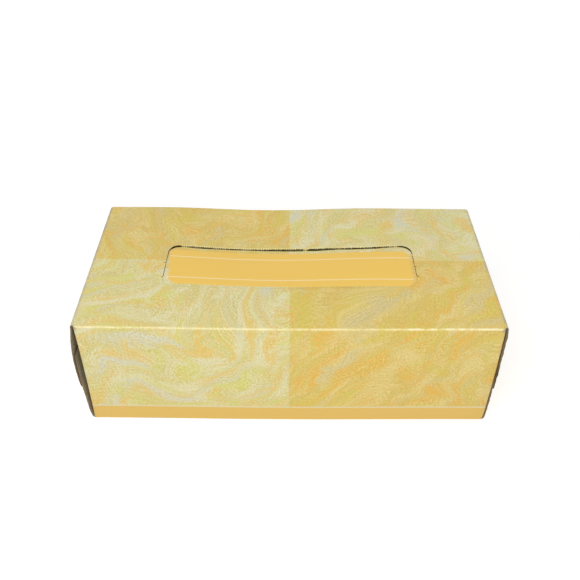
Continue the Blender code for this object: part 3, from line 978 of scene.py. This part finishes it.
# %% Draw both sides of the parting line
GAP_LEFT, GAP_RIGHT = -73.6, 74.3
GAP_FRONT, GAP_BACK, GAP_CORNER = -23.4, 16.0, 7.0
V_ORIGIN = (V_OF_BACK + BACK) * TO_MM
BACK_LINE = ((-70.6, 16.75), (-65.7, 16.4), (-60.8, 16.3), (-54.7, 15.95), (-42.4, 15.85),
             (-30, 15.8), (-5.7, 15.7), (6.5, 15.5), (17.5, 15.4), (24.8, 15.7), (29.7, 15.6),
             (34.6, 15.3), (44.4, 15.05), (51.7, 15.15), (59, 15.7), (64, 15.95), (71.3, 16.3))
BACK_GAP = ((-73.4, 0.35), (-72, 0.95), (-70.6, 1.25), (-67.4, 1.25), (-66.4, 0.4), (-64.8, 0.4),
            (-63, 1.05), (-55, 1.3), (-50, 1.1), (-36, 0.85), (-24, 0.8), (-20, 1.0), (-15, 1.15),
            (-11, 1.4), (-5, 1.65), (5, 1.8), (8.3, 1.8), (8.9, 0.3), (10.3, 0.3), (10.9, 1.95),
            (20, 1.9), (26, 1.7), (28.5, 1.1), (33, 1.1), (36, 1.4), (50, 1.2), (53, 1.4),
            (57, 1.0), (61, 0.8), (63.7, 0.5), (64.3, 0.12), (66.4, 0.12), (67, 0.7), (70, 0.9),
            (73, 0.85), (74.2, 0.4))
LEFT_SLITS = ((-0.8, 12.0), (-14.8, -3.2))
RIGHT_SLITS = ((-1.9, 6.2), (-13.5, -3.5), (7.8, 12.0))
SLIT_GAP, TIE_GAP = 0.30, 0.05
BACK_SHIFT_START, BACK_SHIFT_REACH, PARTED_FROM = 8, 7, 9.5
HOOKS = ((GAP_LEFT, -1.0, -1), (GAP_LEFT, -14.6, -1), (GAP_RIGHT, -3.6, 1), (GAP_RIGHT, -13.3, 1))
HOOK_OUT, HOOK_DOWN = 1.3, 0.9


def parting_line():
    """The middle of the gap round the lid, its outward direction and the local gap, in mm."""
    corners = [(x, V_ORIGIN - y, GAP_CORNER)
               for x, y in ((GAP_RIGHT, GAP_BACK), (GAP_RIGHT, GAP_FRONT),
                            (GAP_LEFT, GAP_FRONT), (GAP_LEFT, GAP_BACK))]
    line = divide(rounded(corners, 16), 0.4)
    x, y = line[:, 0], V_ORIGIN - line[:, 1]
    at, shift = np.array(BACK_LINE).T
    share = np.clip((y - BACK_SHIFT_START) / BACK_SHIFT_REACH, 0, 1)
    y = y + (np.interp(x, at, shift) - GAP_BACK) * share
    line = np.stack([x, V_ORIGIN - y], 1)
    run = np.roll(line, -1, 0) - np.roll(line, 1, 0)
    run /= np.linalg.norm(run, axis=1)[:, None]
    outward = np.stack([run[:, 1], -run[:, 0]], 1)
    outward *= np.sign((outward * (line - line.mean(0))).sum(1).mean())
    at, width = np.array(BACK_GAP).T
    gap = np.full(len(line), TIE_GAP)
    for slits, side in ((LEFT_SLITS, x < 0), (RIGHT_SLITS, x > 0)):
        for low, high in slits:
            gap[side & (y > low) & (y < high)] = SLIT_GAP
    behind = y > PARTED_FROM
    gap[behind] = np.interp(x, at, width)[behind]
    return line, outward, gap


def add_hooks(loop):
    """Pull a thin hook out of the carton's side of the line at each slit's end."""
    for x, y, side in HOOKS:
        base = int(np.argmin(np.linalg.norm(loop - (x, V_ORIGIN - y), axis=1)))
        loop[base] += (side * HOOK_OUT, HOOK_DOWN)
    return loop


line, outward, gap = parting_line()
carton_side = add_hooks(line + outward * gap[:, None] / 2)
lid_side = line - outward * gap[:, None] / 2
print("gap from", round(float(gap.min()), 2), "to", round(float(gap.max()), 2), "mm")

# %% [markdown]
# ## The carton
#
# The whole carton is one sheet of board with one hole, so it is one piece here too. Its grid is
# dense at the creases, where the board bends, and coarse on the panels. A grid that is dense all
# over would look the same and take many times the faces.

# %% Cut and fold the carton
CARTON_GRID_STEP = 2.6
CREASE_ROWS = (0.4, 0.9, 1.6)
FLAP_ROWS_END = 52


def lines_between(start, end, step, fine=()):
    """Evenly spaced places from start to end, with finer ones near both ends."""
    count = max(int(round((end - start) / step)), 1)
    places = [start + (end - start) * index / count for index in range(count + 1)]
    places += [start + f for f in fine] + [end - f for f in fine]
    return sorted(set(round(p, 4) for p in places))


def grid_points(columns, rows):
    """All crossings of some columns and rows."""
    return np.stack(np.meshgrid(columns, rows), -1).reshape(-1, 2)


def blank_grid(step):
    """Grid points over the whole blank in millimetres, dense at the creases."""
    arc, end = ARC * TO_MM, SLEEVE_END * TO_MM
    rows = []
    for index, run in enumerate(RUNS):
        start = RUN_START[index] * TO_MM
        rows += lines_between(start, start + run * TO_MM, step, CREASE_ROWS)
        if index < 4:
            rows += [start + run * TO_MM + arc * part / 6 for part in range(1, 6)]
    points = [grid_points(lines_between(-end, end, step, CREASE_ROWS), rows)]
    for panel in range(4):
        lead = FLAP_LEAD[panel] * TO_MM
        start = RUN_START[panel] * TO_MM
        rows = lines_between(start, start + RUNS[panel] * TO_MM, step)
        reach = [end + lead * part / 2 for part in (1, 2)] if lead else []
        reach += [end + lead + arc * part / 6 for part in range(1, 7)]
        reach += lines_between(end + lead + arc + 0.5, end + lead + arc + FLAP_ROWS_END, step)
        points += [grid_points([side * c for c in reach], rows) for side in (-1, 1)]
    return np.unique(np.concatenate(points).round(4), axis=0)


flat, faces = cut_sheet([outline, carton_side], blank_grid(CARTON_GRID_STEP))
carton = fold_board("folded_carton", flat, faces, (printed_board, board_back, cut_edge))
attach(carton, "box")
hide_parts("carton")

# %% [markdown]
# ## The lid
#
# The lid is cut from the same sheet, inside the perforation. Its back edge has parted from the
# carton and stands a little lower. Its front edge still holds, so the board bends there when
# the lid is lifted, and the lid's grid is dense along that edge.

# %% Cut the lid, its grid dense at its hinge
OPENING_FRONT, LID_GAP, LID_DROP = -0.0235, 0.0003, 0.0005
LID_FRONT, LID_BACK = OPENING_FRONT + LID_GAP, 0.0154
LID_GRID_STEP = 2.2
CURL_ROWS = (0.5, 1.0, 1.5, 2.0, 2.5, 3.0, 3.5)


def parted(x, y):
    """How far the loose lid has dropped below the opening's edge."""
    share = np.clip((y - LID_FRONT) / (LID_BACK - LID_FRONT), 0, 1)
    return LID_DROP * share ** 2


columns = lines_between(GAP_LEFT, GAP_RIGHT, LID_GRID_STEP)
rows = lines_between(V_ORIGIN - GAP_BACK, V_ORIGIN - GAP_FRONT, LID_GRID_STEP, CURL_ROWS)
flat, faces = cut_sheet([lid_side], grid_points(columns, rows))
lid = fold_board("tear_open_flap", flat, faces, (lid_print, board_back, cut_edge), parted)
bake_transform(lid)
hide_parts("tear_open_lid")

# %% [markdown]
# ## Helpers for Geometry Nodes
#
# Two things on this box repeat: the torn stubs of the perforation and the tissues. Geometry
# Nodes make both. A tree is built once with named inputs, a modifier runs it on a small starting
# mesh, and the result is kept as a plain mesh.

# %% Build and run a tree
def new_geometry_tree(name, inputs):
    """A Geometry Nodes tree that takes and gives a geometry."""
    return new_group(name, [("Geometry", GEOMETRY, None), *inputs], [("Geometry", GEOMETRY)],
                     "GeometryNodeTree")


def copy_on_points(given, result, inputs):
    """End a tree: put copies on points, make them real and give them their finish."""
    tree = given["Finish"].id_data
    copies = add_step(tree, "GeometryNodeInstanceOnPoints", inputs)
    copies = add_step(tree, "GeometryNodeRealizeInstances", {"Geometry": copies})
    copies = add_step(tree, "GeometryNodeSetMaterial",
                      {"Geometry": copies, "Material": given["Finish"]})
    connect(result, {"Geometry": copies})


def run_tree(name, mesh, tree, values):
    """Run a tree on a mesh with its inputs set, and return the result as a plain mesh object."""
    holder = add_object(name + "_maker", mesh)
    modifier = holder.modifiers.new(name, "NODES")
    modifier.node_group = tree
    for item in tree.interface.items_tree:
        if item.in_out == "INPUT" and item.name in values:
            modifier[item.identifier] = values[item.name]
    depsgraph = bpy.context.evaluated_depsgraph_get()
    made = bpy.data.meshes.new_from_object(holder.evaluated_get(depsgraph), depsgraph=depsgraph)
    bpy.data.objects.remove(holder)
    made.name = name
    print(name, "faces:", len(made.polygons))
    return add_object(name, made)


print("tree helpers ready")

# %% [markdown]
# ## Torn stubs of the perforation
#
# The perforation left a tie every millimetre or so. Each torn tie leaves a short stub of bare
# fibres on the carton or on the lid, rooted in the print beside the edge, so the gap's edges look
# like fine saw teeth. The edge of each part is handed over as a line of points that know which
# way the gap lies. Geometry Nodes step along the line, put a small wedge on each step and stretch
# it by a random amount. Cutting the teeth into the blank would work too, but it would need ten
# times as many points in the sheet.

# %% Grow the stubs along the torn edges
STUBS_START, STUBS_END = 14.0, 66.0
STUB_DEPTH = 0.00010
STUB_PITCH, STUB_THICKNESS = 0.0011, 0.0005

stub_tree, given, result = new_geometry_tree(
    "torn_stubs",
    [("Pitch", VALUE, STUB_PITCH), ("Stub Width", VALUE, 0.0006), ("Stub Length", VALUE, 0.0010),
     ("Root", VALUE, 0.0004), ("Thickness", VALUE, STUB_THICKNESS), ("Shortest", VALUE, 0.45),
     ("Seed", INTEGER, 3), ("Finish", MATERIAL, None)])
edge = add_step(stub_tree, "GeometryNodeMeshToCurve", {"Mesh": given["Geometry"]})
edge = add_step(stub_tree, "GeometryNodeResampleCurve",
                {"Curve": edge, "Length": given["Pitch"]}, mode="LENGTH")
spots = add_step(stub_tree, "GeometryNodeCurveToPoints", {"Curve": edge}, mode="EVALUATED")
way = add_step(stub_tree, "GeometryNodeInputNamedAttribute", {"Name": "gap_way"},
               data_type="FLOAT_VECTOR")
turned = add_step(stub_tree, "FunctionNodeAlignRotationToVector", {"Vector": way},
                  axis="Y", pivot_axis="Z")
wedge = add_step(stub_tree, "GeometryNodeMeshCone",
                 {"Vertices": 4, "Radius Top": 0.40, "Radius Bottom": 0.7071, "Depth": 1.0})
wedge = add_step(stub_tree, "GeometryNodeTransform",
                 {"Geometry": wedge, "Rotation": (-math.pi / 2, math.radians(45), 0.0)})
size = combine(given["Stub Width"], given["Stub Length"], given["Thickness"])
wedge = add_step(stub_tree, "GeometryNodeTransform", {"Geometry": wedge, "Scale": size})
lowest, highest, drawn = 2, 3, 1                  # the sockets that a single random number uses
stretch = add_node(stub_tree, "FunctionNodeRandomValue",
                   {lowest: given["Shortest"], highest: 1.0, "Seed": given["Seed"]},
                   data_type="FLOAT").outputs[drawn]
root_step = vector_calc("SCALE", way, times(given["Root"], -1.0))
rooted = add_step(stub_tree, "GeometryNodeSetPosition", {"Geometry": spots, "Offset": root_step})
copy_on_points(given, result, {"Points": rooted, "Instance": wedge, "Rotation": turned,
                               "Scale": combine(1.0, stretch, 1.0)})


def torn_edge(name, loop, way, settle=None):
    """The back part of one side of the gap as a line of points on the folded board."""
    y = V_ORIGIN - loop[:, 1]
    chosen = np.flatnonzero((y > STUBS_START) & (np.abs(loop[:, 0]) < STUBS_END))
    chosen = chosen[np.argsort(loop[chosen, 0])]
    points, _ = place_on_box(loop[chosen, 0] * MM, loop[chosen, 1] * MM, STUB_DEPTH, settle)
    mesh = bpy.data.meshes.new(name)
    mesh.from_pydata(points.tolist(), [(i, i + 1) for i in range(len(points) - 1)], [])
    ways = mesh.attributes.new("gap_way", "FLOAT_VECTOR", "POINT")
    ways.data.foreach_set("vector", np.tile([0.0, way, 0.0], len(points)).astype(np.float32))
    return mesh


def grow_stubs(name, edge, width, length, root, shortest, seed):
    """Stubs along one torn edge."""
    return run_tree(name, edge, stub_tree,
                    {"Pitch": STUB_PITCH, "Stub Width": width, "Stub Length": length,
                     "Root": root, "Thickness": STUB_THICKNESS, "Shortest": shortest,
                     "Seed": seed, "Finish": torn_fibre})


stubs_behind = grow_stubs("carton_stubs", torn_edge("carton_torn_edge", carton_side, -1.0),
                          width=0.0006, length=0.0018, root=0.0009, shortest=0.40, seed=3)
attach(stubs_behind, "box")
stubs_on_lid = grow_stubs("lid_stubs", torn_edge("lid_torn_edge", lid_side, 1.0, parted),
                          width=0.0005, length=0.0011, root=0.0005, shortest=0.35, seed=11)
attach(stubs_on_lid, "lid")

# %% [markdown]
# ## The tissues
#
# The tissues lie folded over each other, so the long sides of the stack show a row of soft
# folds and the ends show layers. One folded leaf is a thin bar with rounded edges, and Geometry
# Nodes repeat it upwards with small random shifts. That keeps the number of leaves and their
# thickness as plain inputs.

# %% Stack the tissues with Geometry Nodes
STACK_LOW, STACK_HIGH = 0.0008, 0.0588
LEAF_LENGTH, LEAF_DEPTH = 2 * 0.1065 - 0.001, 2 * 0.0525 - 0.001
LEAVES, LEAF_SHIFT, LEAF_SEED = 84, 0.0004, 5
LEAF_THICKNESS = (STACK_HIGH - STACK_LOW) / LEAVES
STATIONS_ALONG, ROUNDING_POINTS = 15, 3

stack_tree, given, result = new_geometry_tree(
    "folded_leaves",
    [("Leaves", INTEGER, LEAVES), ("Leaf Thickness", VALUE, LEAF_THICKNESS),
     ("Length", VALUE, LEAF_LENGTH), ("Depth", VALUE, LEAF_DEPTH), ("Shift", VALUE, LEAF_SHIFT),
     ("Seed", INTEGER, LEAF_SEED), ("Finish", MATERIAL, None)])
thick = given["Leaf Thickness"]
line = add_step(stack_tree, "GeometryNodeMeshLine",
                {"Count": given["Leaves"], "Offset": combine(0.0, 0.0, thick)})
path = add_step(stack_tree, "GeometryNodeCurvePrimitiveLine",
                {"Start": combine(times(given["Length"], -0.5)),
                 "End": combine(times(given["Length"], 0.5))})
path = add_step(stack_tree, "GeometryNodeResampleCurve", {"Curve": path, "Count": STATIONS_ALONG})
bar = add_step(stack_tree, "GeometryNodeCurvePrimitiveQuadrilateral",
               {"Width": given["Depth"], "Height": thick})
bar = add_step(stack_tree, "GeometryNodeFilletCurve",
               {"Curve": bar, "Count": ROUNDING_POINTS, "Radius": times(thick, 0.49)}, mode="POLY")
leaf = add_step(stack_tree, "GeometryNodeCurveToMesh",
                {"Curve": path, "Profile Curve": bar, "Fill Caps": True})
shift = add_step(stack_tree, "FunctionNodeRandomValue",
                 {"Min": (-1.0, -1.0, 0.0), "Max": (1.0, 1.0, 0.0), "Seed": given["Seed"]},
                 data_type="FLOAT_VECTOR")
line = add_step(stack_tree, "GeometryNodeSetPosition",
                {"Geometry": line, "Offset": vector_calc("SCALE", shift, given["Shift"])})
copy_on_points(given, result, {"Points": line, "Instance": leaf})

start = bpy.data.meshes.new("stack_start")
start.from_pydata([(0, 0, 0)], [], [])
tissues = run_tree("folded_tissues", start, stack_tree,
                   {"Leaves": LEAVES, "Leaf Thickness": LEAF_THICKNESS, "Length": LEAF_LENGTH,
                    "Depth": LEAF_DEPTH, "Shift": LEAF_SHIFT, "Seed": LEAF_SEED,
                    "Finish": tissue_paper})
tissues.data.transform(Matrix.Translation((0, 0, STACK_LOW + LEAF_THICKNESS / 2)))
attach(tissues, "box")
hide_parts("tissue_stack")

# %% [markdown]
# ## The leaf on top
#
# Through the opening only the first tissue shows. It lies folded back on itself, so its soft fold
# runs along the box under the opening, and the sheet around it is faintly crumpled. A line that
# follows the fold is drawn from the back of the stack to the front and back again, and every
# point of it is swept along the box with small waves. The sweep is made point by point, not by a
# modifier, because the waves of the upper and the lower ply have to stay apart.

# %% Fold the top leaf
LEAF_FOLD_Y, LEAF_ROLL, LEAF_PLY = 0.003, 0.0014, 0.00035
LOWER_PLY_BACK, UPPER_PLY_BACK = 0.050, 0.040
LEAF_HALF_LENGTH, LEAF_STATIONS = 0.1045, 140
LOWER_POINTS, TURN_POINTS, UPPER_POINTS = 30, 9, 26
LONG_SWAY, SHORT_SWAY = 0.0010, 0.0005
PUFF_HEIGHT, CRUMPLE_HEIGHT, LOWER_PUFF = 0.0015, 0.0006, 0.0001


def swell(phase):
    """A soft wave between nought and one."""
    return 0.5 + 0.5 * np.sin(phase)


lower_y = np.linspace(LOWER_PLY_BACK, LEAF_FOLD_Y, LOWER_POINTS)
turn = np.linspace(-math.pi / 2, math.pi / 2, TURN_POINTS)[1:-1]
upper_y = np.linspace(LEAF_FOLD_Y, UPPER_PLY_BACK, UPPER_POINTS)
middle_y = np.concatenate([lower_y, LEAF_FOLD_Y - LEAF_ROLL * np.cos(turn), upper_y])
middle_z = np.concatenate([np.zeros(len(lower_y)), LEAF_ROLL * (1 + np.sin(turn)),
                           np.full(len(upper_y), 2 * LEAF_ROLL)])
run_y, run_z = np.gradient(middle_y), np.gradient(middle_z)
length = np.hypot(run_y, run_z)
off_y, off_z = -run_z / length * LEAF_PLY / 2, run_y / length * LEAF_PLY / 2
section_y = np.concatenate([middle_y + off_y, (middle_y - off_y)[::-1]])
section_z = np.concatenate([middle_z + off_z, (middle_z - off_z)[::-1]])
stations = np.linspace(-LEAF_HALF_LENGTH, LEAF_HALF_LENGTH, LEAF_STATIONS)
x, y = np.meshgrid(stations, section_y, indexing="ij")
z = np.tile(section_z, (len(stations), 1))
raised = z / (2 * LEAF_ROLL)
sway = LONG_SWAY * np.sin(x / 0.021 + 0.6) + SHORT_SWAY * np.sin(x / 0.0083 + 2.0)
y = y + sway * (0.4 + 0.6 * raised)
puff = swell(x / 0.017 + y / 0.012 + 1.1) * swell(x / 0.006 - y / 0.009)
crumple = swell(x / 0.0041 + 2.3 * np.sin(y / 0.0075 + 0.7))
z = z + raised * (PUFF_HEIGHT * puff + CRUMPLE_HEIGHT * crumple) + (1 - raised) * LOWER_PUFF * puff
ring = len(section_y)
corner = np.arange(len(stations) * ring).reshape(len(stations), ring)
turned_on = np.roll(corner, -1, 1)
sides = np.stack([corner[:-1], corner[1:], turned_on[1:], turned_on[:-1]], -1).reshape(-1, 4)
leaf_mesh = bpy.data.meshes.new("top_leaf")
leaf_mesh.from_pydata(np.stack([x, y, z + STACK_HIGH + LEAF_PLY], -1).reshape(-1, 3).tolist(), [],
                      sides.tolist() + [corner[0].tolist(), corner[-1][::-1].tolist()])
leaf_mesh.shade_smooth()
leaf_mesh.materials.append(tissue_paper)
top_leaf = add_object("top_leaf", leaf_mesh)
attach(top_leaf, "box")
print("top leaf faces:", len(leaf_mesh.polygons))
